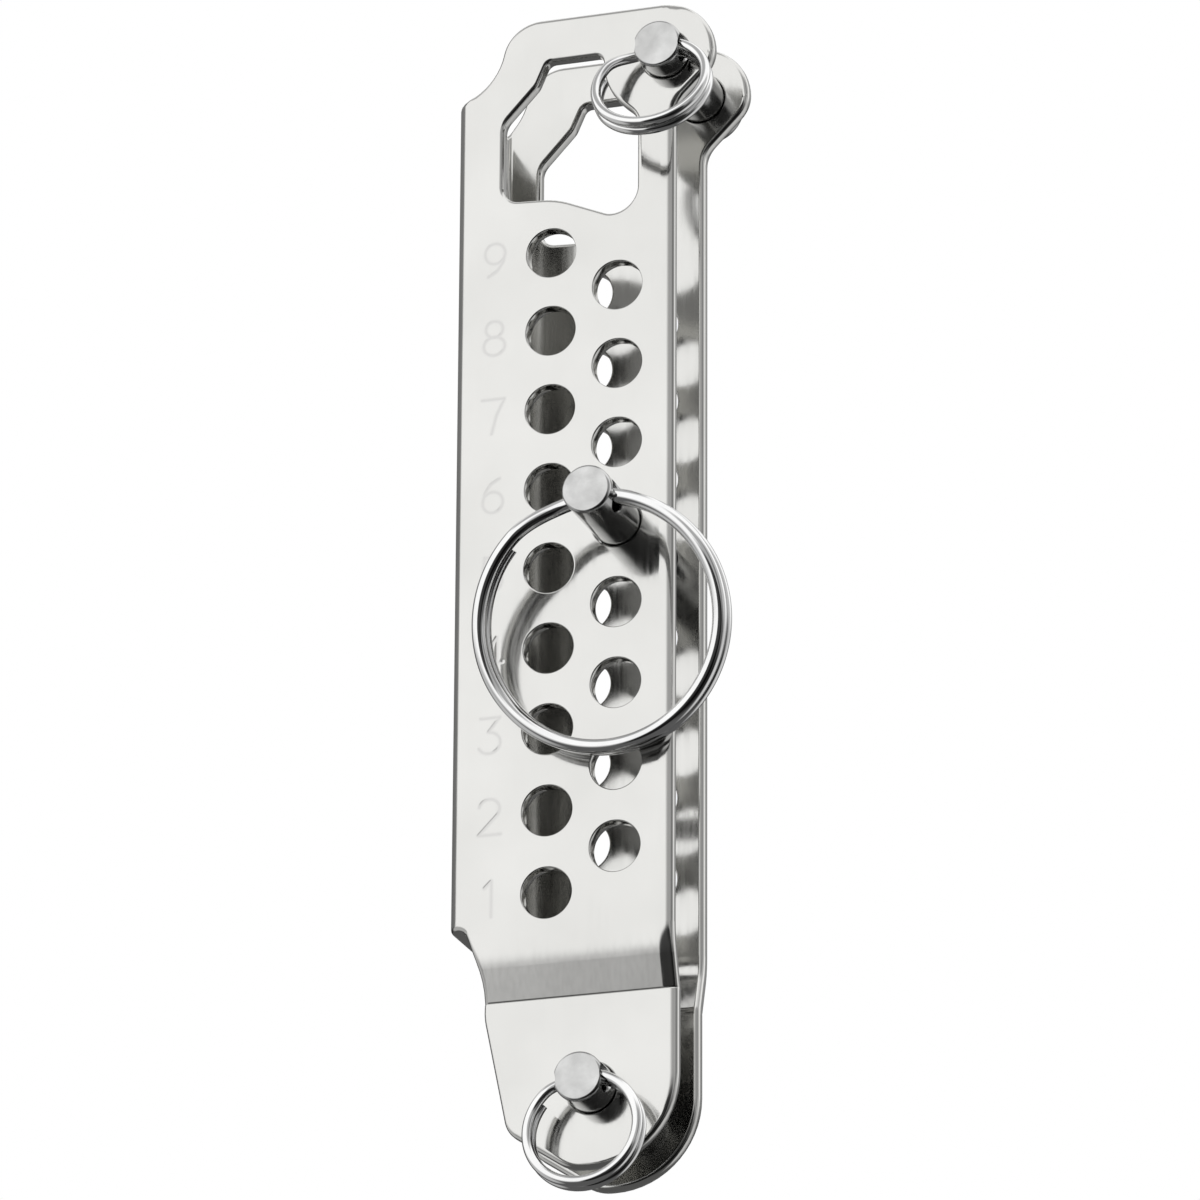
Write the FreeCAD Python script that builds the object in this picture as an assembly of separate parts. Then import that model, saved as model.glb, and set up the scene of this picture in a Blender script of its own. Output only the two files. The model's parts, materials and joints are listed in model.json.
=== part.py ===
import FreeCAD, Part
import math
import os

os.makedirs("parts", exist_ok=True)

# Shroud adjuster for a sailing dinghy: a pierced stainless channel, three clevis pins and their split rings.
# Millimetres. The origin is on the axis of the chainplate pin, midway between the two plates.
# +Z runs up the channel towards the shroud, +X towards its open side, and -Y out of the numbered front plate.

# Sheet and folds
sheet = 1.5
fold_inside_radius = 0.6
channel_gap = 9.6
fork_gap = 6.6
joggle_height = 4.45
joggle_upper_inside_radius = 4.0
joggle_lower_inside_radius = 0.8

# Pins and the holes they run in
pin_diameter = 4.76
running_clearance = 0.07
head_diameter = 7.2
head_thickness = 1.4
head_play = 0.1
head_edge = 0.3
tip_edge = 0.3

# The two columns of adjusting holes, measured from the chainplate pin
hole_pitch = 8.0
left_hole_count = 9
right_hole_count = 8
left_column_x = -4.0
first_hole_z = 18.7
column_spacing = 6.65
column_stagger = 3.9
pinned_right_hole = 5

# Straight edges of the plates, measured from the holes that they surround
right_margin = 4.75
web_margin = 9.9
web_bottom_below_first_hole = 2.8
joggle_below_web = 2.5

# Lower ear, round the chainplate pin, and the neck that joins it to the channel
ear_below_pin = 7.5
ear_bottom_radius = 8.4
ear_heel_run = 1.2
ear_corner_reach = 8.27
ear_corner_below_pin = 3.54
ear_corner_radius = 2.5
neck_reach = 10.6
neck_below_joggle = 1.2
neck_radius = 6.0
waist_reach = 10.4
waist_below_joggle_top = 2.2
waist_radius = 9.0
shoulder_margin = 8.1
shoulder_radius = 0.8

# Upper ear, round the top pin, and the slope that joins it to the web
top_pin_above_last_hole = 19.1
top_pin_x = 7.4
top_edge_above_pin = 5.4
top_ear_reach = 4.8
top_ear_radius = 5.2
ear_slope_radius = 3.3
ear_root_radius = 3.0
top_left_margin = 4.43
top_left_radius = 3.9
web_end_margin = 6.13
web_top_below_pin = 2.5

# Window under the top edge, which leaves a boss round the top pin
boss_radius = 6.3
boss_corner_below_pin = 2.87
window_above_last_hole = 3.4
window_below_top_edge = 4.5
window_left_margin = 4.97
window_right_reach = 1.92
window_right_below_pin = 5.9
window_corner_radius = 0.8
window_brow_margin = 0.55
window_brow_drop = 2.4
window_brow_slant = 1.05
window_jamb_drop = 6.0
window_left_radius = 2.0
window_step_height = 2.2
window_step_slant = 0.3
window_step_left_radius = 1.6
window_step_reach = 0.4
window_step_radius = 8.0
window_sill_margin = 1.05
window_sill_radius = 1.8
window_sill_corner_radius = 2.6
window_right_radius = 2.2

# Length of each pin in front of the plate, and the hole for its ring
top_pin_reach = 2.9
adjusting_pin_reach = 9.1
chainplate_pin_reach = 4.1
small_cross_hole_diameter = 2.6
large_cross_hole_diameter = 2.7
small_hole_from_tip = 1.45
large_hole_from_tip = 2.7

# Split rings: wire, mean radius, and how each one lies in the photograph
small_wire_diameter = 1.0
small_ring_radius = 5.4
large_wire_diameter = 1.2
large_ring_radius = 11.75
turn_gap = 0.1
cut_gap = 0.3
small_crossing_degrees = 42
large_crossing_degrees = 26
top_ring_lean = 23
top_ring_turn = 3
top_ring_split = -44
adjusting_ring_lean = -12
adjusting_ring_turn = 0
adjusting_ring_split = 48
chainplate_ring_lean = 8
chainplate_ring_turn = -3
chainplate_ring_split = 205

# Places that follow from the sizes above
hole_radius = pin_diameter / 2 + running_clearance
outer_y = channel_gap / 2 + sheet
inner_y = channel_gap / 2
fork_outer_y = fork_gap / 2 + sheet
fork_inner_y = fork_gap / 2
right_column_x = left_column_x + column_spacing
last_hole_z = first_hole_z + (left_hole_count - 1) * hole_pitch
right_edge_x = right_column_x + right_margin
web_outer_x = left_column_x - web_margin
web_bottom_z = first_hole_z - web_bottom_below_first_hole
joggle_top_z = web_bottom_z - joggle_below_web
joggle_bottom_z = joggle_top_z - joggle_height
top_pin_z = last_hole_z + top_pin_above_last_hole
top_edge_z = top_pin_z + top_edge_above_pin
web_top_z = top_pin_z - web_top_below_pin
ear_right_x = top_pin_x + top_ear_reach
adjusting_pin_z = first_hole_z + column_stagger + (pinned_right_hole - 1) * hole_pitch
past_x = 2 * (ear_right_x - web_outer_x)
past_z = 2 * (top_edge_z + ear_below_pin)


def on_front(a, b):
    """A point of an outline drawn as seen from the front, X to the right and Z up."""
    return FreeCAD.Vector(a, -past_x, b)


def on_end(a, b):
    """A point of the channel's cross-section, X and Y."""
    return FreeCAD.Vector(a, b, 0)


def on_side(a, b):
    """A point of a plate's side view, Y and Z."""
    return FreeCAD.Vector(-past_x, a, b)


def rounded_face(corners, place):
    """A face whose outline runs straight from corner to corner, each (a, b, radius) turned with its own radius."""
    edges = []
    starts = []
    ends = []
    middles = []
    for i in range(len(corners)):
        a, b, radius = corners[i]
        here = FreeCAD.Vector(a, b, 0)
        before = FreeCAD.Vector(corners[i - 1][0], corners[i - 1][1], 0)
        after = FreeCAD.Vector(corners[(i + 1) % len(corners)][0], corners[(i + 1) % len(corners)][1], 0)
        back = (before - here).normalize()
        on = (after - here).normalize()
        half_turn = (math.pi - back.getAngle(on)) / 2
        run = radius * math.tan(half_turn)
        starts.append(here + back * run)
        ends.append(here + on * run)
        bisector = (back + on).normalize() if radius > 0 else back
        middles.append(here + bisector * (radius / math.cos(half_turn) - radius))
    for i in range(len(corners)):
        line_from = place(ends[i - 1].x, ends[i - 1].y)
        arc_from = place(starts[i].x, starts[i].y)
        if line_from.distanceToPoint(arc_from) > 1e-6:
            edges.append(Part.LineSegment(line_from, arc_from).toShape())
        if corners[i][2] > 0:
            arc_mid = place(middles[i].x, middles[i].y)
            arc_to = place(ends[i].x, ends[i].y)
            edges.append(Part.Arc(arc_from, arc_mid, arc_to).toShape())
    return Part.Face(Part.Wire(edges))


def through_hole(x, z, radius):
    """A bore along Y through both plates."""
    return Part.makeCylinder(radius, 2 * past_x, FreeCAD.Vector(x, -past_x, z), FreeCAD.Vector(0, 1, 0))


def plate_outline():
    """The outline that the blank has in front view: lower ear, neck, folded edge and upper ear.

    It runs clockwise from the lower right. Past the fold it goes well outside the web.
    """
    beyond_web_x = web_outer_x - web_margin

    # The heel is an arc between the ear's round bottom and the slant up to its corner
    heel_x = right_edge_x - ear_bottom_radius - ear_heel_run
    heel_turn = math.atan2(ear_below_pin - ear_corner_below_pin, heel_x + ear_corner_reach)
    heel_radius = ear_heel_run / math.tan(heel_turn / 2)

    # Two arcs fill the slope from the web's end to the top edge
    slope_run = web_end_margin - top_left_margin
    slope_rise = top_edge_z - web_top_z
    slope_half_turn = (math.pi / 2 - math.atan2(slope_run, slope_rise)) / 2
    web_end_radius = math.hypot(slope_run, slope_rise) / math.tan(slope_half_turn) - top_left_radius

    # Below its round end the upper ear slopes back to the plate's edge at 45 degrees
    ear_slope_z = top_edge_z - top_ear_radius - ear_slope_radius * math.tan(math.pi / 8)
    ear_root_z = ear_slope_z - (ear_right_x - right_edge_x)

    return [
        (right_edge_x, -ear_below_pin, ear_bottom_radius),
        (heel_x, -ear_below_pin, heel_radius),
        (-ear_corner_reach, -ear_corner_below_pin, ear_corner_radius),
        (-neck_reach, joggle_bottom_z - neck_below_joggle, neck_radius),
        (-waist_reach, joggle_top_z - waist_below_joggle_top, waist_radius),
        (left_column_x - shoulder_margin, web_bottom_z, shoulder_radius),
        (beyond_web_x, web_bottom_z, 0),
        (beyond_web_x, web_top_z, 0),
        (left_column_x - web_end_margin, web_top_z, web_end_radius),
        (left_column_x - top_left_margin, top_edge_z, top_left_radius),
        (ear_right_x, top_edge_z, top_ear_radius),
        (ear_right_x, ear_slope_z, ear_slope_radius),
        (right_edge_x, ear_root_z, ear_root_radius),
    ]


def window_outline():
    """The window under the top edge: a stepped sill, a slanted brow and a side that bends round the boss.

    It runs anticlockwise from the left end of its head.
    """
    sill_z = last_hole_z + window_above_last_hole
    head_z = top_edge_z - window_below_top_edge
    head_left_x = left_column_x - window_brow_margin
    left_x = left_column_x - window_left_margin
    right_x = right_column_x + window_right_reach
    step_z = sill_z + window_step_height
    boss_side_x = top_pin_x - boss_radius
    return [
        (head_left_x, head_z, window_corner_radius),
        (head_left_x - window_brow_slant, head_z - window_brow_drop, window_left_radius),
        (left_x, head_z - window_jamb_drop, window_left_radius),
        (left_x, step_z + window_step_slant, window_step_left_radius),
        (left_column_x + window_step_reach, step_z, window_step_radius),
        (right_column_x - window_sill_margin, sill_z, window_sill_radius),
        (right_x, sill_z, window_sill_corner_radius),
        (right_x, top_pin_z - window_right_below_pin, window_right_radius),
        (boss_side_x, top_pin_z - boss_corner_below_pin, boss_radius),
        (boss_side_x, head_z, window_corner_radius),
    ]


def channel_section():
    """The folded section: web, two folds and the two plates."""
    fold_outside_radius = fold_inside_radius + sheet
    web_inner_x = web_outer_x + sheet
    return [
        (past_x, -outer_y, 0),
        (web_outer_x, -outer_y, fold_outside_radius),
        (web_outer_x, outer_y, fold_outside_radius),
        (past_x, outer_y, 0),
        (past_x, inner_y, 0),
        (web_inner_x, inner_y, fold_inside_radius),
        (web_inner_x, -inner_y, fold_inside_radius),
        (past_x, -inner_y, 0),
    ]


def joggled_plate_section(top_z):
    """The front plate's lower end seen from the side: it steps in by a joggle to the narrower fork."""
    step = outer_y - fork_outer_y
    slope = math.atan2(step, joggle_height)
    rise = sheet * math.tan(slope / 2)
    bottom_z = -2 * ear_below_pin
    return [
        (-outer_y, top_z, 0),
        (-outer_y, joggle_top_z, joggle_upper_inside_radius + sheet),
        (-fork_outer_y, joggle_bottom_z, joggle_lower_inside_radius),
        (-fork_outer_y, bottom_z, 0),
        (-fork_inner_y, bottom_z, 0),
        (-fork_inner_y, joggle_bottom_z + rise, joggle_lower_inside_radius + sheet),
        (-inner_y, joggle_top_z + rise, joggle_upper_inside_radius),
        (-inner_y, top_z, 0),
    ]


def channel_body():
    """The folded, joggled and pierced channel, one piece of sheet."""
    seam_z = (joggle_top_z + web_bottom_z) / 2
    folded = rounded_face(channel_section(), on_end).extrude(FreeCAD.Vector(0, 0, past_z))
    folded.translate(FreeCAD.Vector(0, 0, seam_z))
    front_plate = rounded_face(joggled_plate_section(seam_z), on_side).extrude(FreeCAD.Vector(2 * past_x, 0, 0))
    middle = FreeCAD.Vector(0, 0, 0)
    back_plate = front_plate.mirror(middle, FreeCAD.Vector(0, 1, 0))
    blank = rounded_face(plate_outline(), on_front).extrude(FreeCAD.Vector(0, 2 * past_x, 0))
    window = rounded_face(window_outline(), on_front).extrude(FreeCAD.Vector(0, 2 * past_x, 0))
    bores = [through_hole(0, 0, hole_radius), through_hole(top_pin_x, top_pin_z, hole_radius)]
    for i in range(left_hole_count):
        bores.append(through_hole(left_column_x, first_hole_z + i * hole_pitch, hole_radius))
    for i in range(right_hole_count):
        bores.append(through_hole(right_column_x, first_hole_z + column_stagger + i * hole_pitch, hole_radius))
    body = folded.fuse([front_plate, back_plate]).common(blank)
    return body.cut([window] + bores).removeSplitter()


def clevis_pin(x, z, face_y, reach, cross_diameter, cross_from_tip, turn):
    """A headed pin with its head behind the back plate and its drilled tip in front. Returns it at its place."""
    radius = pin_diameter / 2
    tip_y = -face_y - reach
    head_y = face_y + head_play
    along = FreeCAD.Vector(0, 1, 0)
    profile = [
        (0, tip_y),
        (radius - tip_edge, tip_y),
        (radius, tip_y + tip_edge),
        (radius, head_y),
        (head_diameter / 2, head_y),
        (head_diameter / 2, head_y + head_thickness - head_edge),
        (head_diameter / 2 - head_edge, head_y + head_thickness),
        (0, head_y + head_thickness),
        (0, tip_y),
    ]
    wire = Part.makePolygon([FreeCAD.Vector(a, b, 0) for a, b in profile])
    pin = Part.Face(wire).revolve(FreeCAD.Vector(0, 0, 0), along, 360)
    cross = Part.makeCylinder(
        cross_diameter / 2,
        2 * pin_diameter,
        FreeCAD.Vector(-pin_diameter, tip_y + cross_from_tip, 0),
        FreeCAD.Vector(1, 0, 0),
    )
    pin = pin.cut(cross)
    pin.rotate(FreeCAD.Vector(0, 0, 0), along, turn)
    pin.translate(FreeCAD.Vector(x, 0, z))
    return pin


def tangent_arc(start, corner, end):
    """The arc that leaves start towards corner and arrives at end, both the same distance from corner."""
    chord_middle = (start + end) * 0.5
    half_turn = (corner - start).getAngle(end - corner) / 2
    share = math.tan(half_turn / 2) / math.tan(half_turn)
    return Part.Arc(start, chord_middle + (corner - chord_middle) * share, end).toShape()


def split_ring(wire_diameter, radius, crossing_degrees, split_degrees):
    """Two flat turns of wire side by side, with one crossing where the two cut ends lie.

    The ring hangs in the XZ plane, with its top in the origin, where both turns pass along X.
    Angles run clockwise from the top as seen from the front. The turn in front comes first.
    """
    offset = (wire_diameter + turn_gap) / 2
    centre_z = -radius + (radius - math.sqrt(radius**2 - (pin_diameter / 2) ** 2)) / 2
    half_crossing = crossing_degrees / 2
    cut = math.degrees((cut_gap + wire_diameter / 2) / radius)

    def point(degrees, y):
        angle = math.radians(degrees)
        return FreeCAD.Vector(radius * math.sin(angle), y, centre_z + radius * math.cos(angle))

    def heading(degrees):
        angle = math.radians(degrees)
        return FreeCAD.Vector(math.cos(angle), 0, -math.sin(angle))

    def turn(first, last, y):
        return Part.Arc(point(first, y), point((first + last) / 2, y), point(last, y)).toShape()

    front_start = split_degrees + half_crossing + cut
    front_end = split_degrees + 360 - half_crossing
    back_start = split_degrees + 360 + half_crossing
    back_end = split_degrees + 720 - half_crossing - cut

    # The crossing is two tangent arcs that meet halfway
    start = point(front_end, -offset)
    end = point(back_start, offset)
    leave = heading(front_end)
    arrive = heading(back_start)
    span = end - start
    bend = 2 * (1 - leave.dot(arrive))
    along = span.dot(leave + arrive)
    reach = (math.sqrt(along**2 + bend * span.dot(span)) - along) / bend
    first_corner = start + leave * reach
    second_corner = end - arrive * reach
    halfway = (first_corner + second_corner) * 0.5

    path = [
        turn(front_start, front_end, -offset),
        tangent_arc(start, first_corner, halfway),
        tangent_arc(halfway, second_corner, end),
        turn(back_start, back_end, offset),
    ]
    section = Part.Face(
        Part.Wire(
            Part.Circle(point(front_start, -offset), heading(front_start), wire_diameter / 2).toShape()
        )
    )
    return Part.Wire(path).makePipe(section)


def place_ring(ring, x, z, face_y, reach, cross_from_tip, lean, turn):
    """Hang a ring in its pin's cross hole, leaning out of the hanging position and turned with the pin."""
    ring.rotate(FreeCAD.Vector(0, 0, 0), FreeCAD.Vector(1, 0, 0), -lean)
    ring.rotate(FreeCAD.Vector(0, 0, 0), FreeCAD.Vector(0, 1, 0), turn)
    ring.translate(FreeCAD.Vector(x, -face_y - reach + cross_from_tip, z))
    return ring


def small_ring(split_degrees):
    return split_ring(small_wire_diameter, small_ring_radius, small_crossing_degrees, split_degrees)


pieces = {}
pieces["channel_body"] = channel_body()
pieces["top_pin"] = clevis_pin(
    top_pin_x, top_pin_z, outer_y, top_pin_reach, small_cross_hole_diameter, small_hole_from_tip, top_ring_turn
)
pieces["adjusting_pin"] = clevis_pin(
    right_column_x,
    adjusting_pin_z,
    outer_y,
    adjusting_pin_reach,
    large_cross_hole_diameter,
    large_hole_from_tip,
    adjusting_ring_turn,
)
pieces["chainplate_pin"] = clevis_pin(
    0, 0, fork_outer_y, chainplate_pin_reach, small_cross_hole_diameter, small_hole_from_tip, chainplate_ring_turn
)
pieces["top_ring"] = place_ring(
    small_ring(top_ring_split),
    top_pin_x,
    top_pin_z,
    outer_y,
    top_pin_reach,
    small_hole_from_tip,
    top_ring_lean,
    top_ring_turn,
)
pieces["adjusting_ring"] = place_ring(
    split_ring(large_wire_diameter, large_ring_radius, large_crossing_degrees, adjusting_ring_split),
    right_column_x,
    adjusting_pin_z,
    outer_y,
    adjusting_pin_reach,
    large_hole_from_tip,
    adjusting_ring_lean,
    adjusting_ring_turn,
)
pieces["chainplate_ring"] = place_ring(
    small_ring(chainplate_ring_split),
    0,
    0,
    fork_outer_y,
    chainplate_pin_reach,
    small_hole_from_tip,
    chainplate_ring_lean,
    chainplate_ring_turn,
)

for name, shape in pieces.items():
    box = shape.BoundBox
    print(
        f"{name}: {len(shape.Solids)} solid, {shape.Volume:.1f} mm3, valid {shape.isValid()},",
        f"X {box.XMin:.2f} to {box.XMax:.2f}, Y {box.YMin:.2f} to {box.YMax:.2f}, Z {box.ZMin:.2f} to {box.ZMax:.2f}",
    )
    shape.exportStep(f"parts/{name}.step")
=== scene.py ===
import bpy
import bmesh
import json
import math
from mathutils import Euler, Matrix, Vector


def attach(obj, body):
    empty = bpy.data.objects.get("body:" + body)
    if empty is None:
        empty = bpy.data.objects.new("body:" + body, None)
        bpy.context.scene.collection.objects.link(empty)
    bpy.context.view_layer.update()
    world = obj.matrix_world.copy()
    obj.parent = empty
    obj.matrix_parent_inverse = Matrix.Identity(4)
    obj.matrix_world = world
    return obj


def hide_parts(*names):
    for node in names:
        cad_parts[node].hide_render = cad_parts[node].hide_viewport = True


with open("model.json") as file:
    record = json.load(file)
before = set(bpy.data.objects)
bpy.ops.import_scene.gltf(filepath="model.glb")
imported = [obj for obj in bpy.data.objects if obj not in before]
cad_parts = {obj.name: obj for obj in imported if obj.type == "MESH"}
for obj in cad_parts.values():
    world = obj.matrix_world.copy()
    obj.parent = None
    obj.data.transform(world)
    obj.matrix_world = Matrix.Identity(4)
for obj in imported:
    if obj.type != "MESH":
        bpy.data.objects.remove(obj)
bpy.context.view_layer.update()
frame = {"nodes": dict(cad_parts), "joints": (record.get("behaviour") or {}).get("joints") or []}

mm = 0.001
scene = bpy.context.scene
print("Frame loaded:", len(frame["nodes"]), "pieces from the CAD model")

# The frame gives each pin's axis, and the cross hole that each ring swings in
pinAxis = {}
crossHole = {}
for joint in frame["joints"]:
    name = joint["name"].split("_")[0]
    place = Vector(joint["pos_m"]) / mm
    if joint["name"].endswith("_pin_spin"):
        pinAxis[name] = place
    else:
        crossHole[name] = place


# Materials

steelNoise = {
    "usualLow": 0.3,
    "usualHigh": 0.7,
    "cloudDetail": 4.0,
    "grainDetail": 3.0,
    "waveDetail": 1.0,
}
colourMix = {"share": 0, "first": 6, "second": 7, "result": 2}  # a colour Mix node's sockets


def addNode(tree, kind, **settings):
    node = tree.nodes.new(kind)
    for key, value in settings.items():
        setattr(node, key, value)
    return node


def noiseOn(tree, coords, scale, stretch, detail):
    # noise in the piece's own space; stretch lengthens it along an axis
    mapping = addNode(tree, "ShaderNodeMapping")
    mapping.inputs["Scale"].default_value = [scale / s for s in stretch]
    noise = addNode(tree, "ShaderNodeTexNoise")
    noise.inputs["Scale"].default_value = 1.0
    noise.inputs["Detail"].default_value = detail
    tree.links.new(coords.outputs["Object"], mapping.inputs["Vector"])
    tree.links.new(mapping.outputs["Vector"], noise.inputs["Vector"])
    return noise.outputs["Fac"]


def spread(tree, noise, low, high):
    # turns the values that noise mostly takes into a range of tone or roughness
    reach = addNode(tree, "ShaderNodeMapRange")
    reach.inputs["From Min"].default_value = steelNoise["usualLow"]
    reach.inputs["From Max"].default_value = steelNoise["usualHigh"]
    reach.inputs["To Min"].default_value = low
    reach.inputs["To Max"].default_value = high
    tree.links.new(noise, reach.inputs["Value"])
    return reach.outputs[0]


def mixTones(tree, share, first, second):
    # first and second are plain tones, or sockets that carry one
    mix = addNode(tree, "ShaderNodeMix", data_type="RGBA")
    tree.links.new(share, mix.inputs[colourMix["share"]])
    for end, tone in (("first", first), ("second", second)):
        socket = mix.inputs[colourMix[end]]
        if isinstance(tone, tuple):
            socket.default_value = (*tone, 1)
        else:
            tree.links.new(tone, socket)
    return mix.outputs[colourMix["result"]]


def bumpFrom(tree, noise, depth, under=None):
    bump = addNode(tree, "ShaderNodeBump")
    bump.inputs["Strength"].default_value = 1.0
    bump.inputs["Distance"].default_value = depth * mm
    tree.links.new(noise, bump.inputs["Height"])
    if under is not None:
        tree.links.new(under, bump.inputs["Normal"])
    return bump.outputs["Normal"]


def stainless(name, finish):
    material = bpy.data.materials.new(name)
    material.use_nodes = True
    tree = material.node_tree
    shader = tree.nodes["Principled BSDF"]
    shader.inputs["Metallic"].default_value = 1.0
    coords = addNode(tree, "ShaderNodeTexCoord")

    # slow clouds in the colour, as rolled sheet and wire have; the digits' strokes get painted shade,
    # darker where they are pressed deeper
    clouds = noiseOn(tree, coords, finish["cloudScale"], (1, 1, 1), steelNoise["cloudDetail"])
    colour = mixTones(tree, spread(tree, clouds, 0, 1), finish["darkTone"], finish["lightTone"])
    # painted shade in the digits' pressed strokes, mixed in by the share the mesh carries
    if "strokeShadeTone" in finish:
        strokeShade = addNode(tree, "ShaderNodeAttribute", attribute_name="strokeShade")
        colour = mixTones(tree, strokeShade.outputs["Fac"], colour, finish["strokeShadeTone"])
    tree.links.new(colour, shader.inputs["Base Color"])

    # the polish varies along the grain
    stretch = finish["grainStretch"]
    grain = noiseOn(tree, coords, finish["grainScale"], stretch, steelNoise["grainDetail"])
    polish = spread(tree, grain, finish["roughLow"], finish["roughHigh"])
    tree.links.new(polish, shader.inputs["Roughness"])

    # slow waves left by rolling or drawing, with fine scratches along the grain over them
    waves = noiseOn(tree, coords, finish["waveScale"], (1, 1, 1), steelNoise["waveDetail"])
    waved = bumpFrom(tree, waves, finish["waveDepth"])
    scratched = bumpFrom(tree, grain, finish["grainDepth"], waved)
    tree.links.new(scratched, shader.inputs["Normal"])
    return material


sheetFinish = {
    "darkTone": (0.60, 0.597, 0.58),
    "lightTone": (0.65, 0.647, 0.63),
    # tone of the painted shade in the digits' strokes
    "strokeShadeTone": (0.55, 0.545, 0.535),
    "cloudScale": 90.0,
    "grainScale": 2600.0,
    "grainStretch": (1, 1, 14),
    "roughLow": 0.09,
    "roughHigh": 0.15,
    "waveScale": 160.0,
    "waveDepth": 0.02,
    "grainDepth": 0.0004,
}
pinFinish = {
    "darkTone": (0.42, 0.42, 0.415),
    "lightTone": (0.58, 0.58, 0.575),
    "cloudScale": 480.0,
    "grainScale": 3000.0,
    "grainStretch": (1, 6, 1),
    "roughLow": 0.12,
    "roughHigh": 0.2,
    "waveScale": 500.0,
    "waveDepth": 0.01,
    "grainDepth": 0.0004,
}
wireFinish = {
    "darkTone": (0.70, 0.70, 0.70),
    "lightTone": (0.78, 0.78, 0.775),
    "cloudScale": 240.0,
    "grainScale": 2200.0,
    "grainStretch": (1, 1, 1),
    "roughLow": 0.04,
    "roughHigh": 0.09,
    "waveScale": 300.0,
    "waveDepth": 0.006,
    "grainDepth": 0.0002,
}
sheetSteel = stainless("satinSheetSteel", sheetFinish)
pinSteel = stainless("turnedPinSteel", pinFinish)
wireSteel = stainless("brightRingWire", wireFinish)
print("Materials made")


# Helpers for meshes

def plainMesh(obj):
    # the evaluated object as a plain mesh, with its modifiers gone
    graph = bpy.context.evaluated_depsgraph_get()
    mesh = bpy.data.meshes.new_from_object(obj.evaluated_get(graph))
    mesh.name = obj.name
    obj.modifiers.clear()
    obj.data = mesh
    return obj


def newObject(name, data, material=None):
    obj = bpy.data.objects.new(name, data)
    scene.collection.objects.link(obj)
    if material:
        data.materials.clear()
        data.materials.append(material)
    return obj


def newPiece(name, bm, material=None):
    mesh = bpy.data.meshes.new(name)
    bm.to_mesh(mesh)
    bm.free()
    return newObject(name, mesh, material)


def smoothOver(obj, degrees, flatWeight=90):
    # smooth shading that keeps flat faces flat and edges past the angle sharp
    obj.data.polygons.foreach_set("use_smooth", [True] * len(obj.data.polygons))
    obj.data.set_sharp_from_angle(angle=math.radians(degrees))
    weigh = obj.modifiers.new("flatFaces", "WEIGHTED_NORMAL")
    weigh.keep_sharp = True
    weigh.weight = flatWeight
    return plainMesh(obj)


def roundedLoop(corners, stepDegrees=6.0):
    # straight runs from corner to corner, each (a, b, radius) turned with its own radius
    points = []
    count = len(corners)
    for i, (a, b, radius) in enumerate(corners):
        here = Vector((a, b))
        if radius == 0:
            points.append(here)
            continue
        back = (Vector(corners[i - 1][:2]) - here).normalized()
        on = (Vector(corners[(i + 1) % count][:2]) - here).normalized()
        halfTurn = (math.pi - back.angle(on)) / 2
        run = radius * math.tan(halfTurn)
        centre = here + (back + on).normalized() * (radius / math.cos(halfTurn))
        first = here + back * run - centre
        steps = max(2, math.ceil(math.degrees(2 * halfTurn) / stepDegrees))
        side = 1 if back.x * on.y - back.y * on.x < 0 else -1
        for k in range(steps + 1):
            turn = side * 2 * halfTurn * k / steps
            c, s = math.cos(turn), math.sin(turn)
            points.append(centre + Vector((first.x * c - first.y * s, first.x * s + first.y * c)))
    return points


def circleLoop(x, z, radius, count=72):
    steps = [2 * math.pi * k / count for k in range(count)]
    return [Vector((x + radius * math.cos(t), z + radius * math.sin(t))) for t in steps]


# Channel: the blank is drawn flat, then folded and joggled

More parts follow.
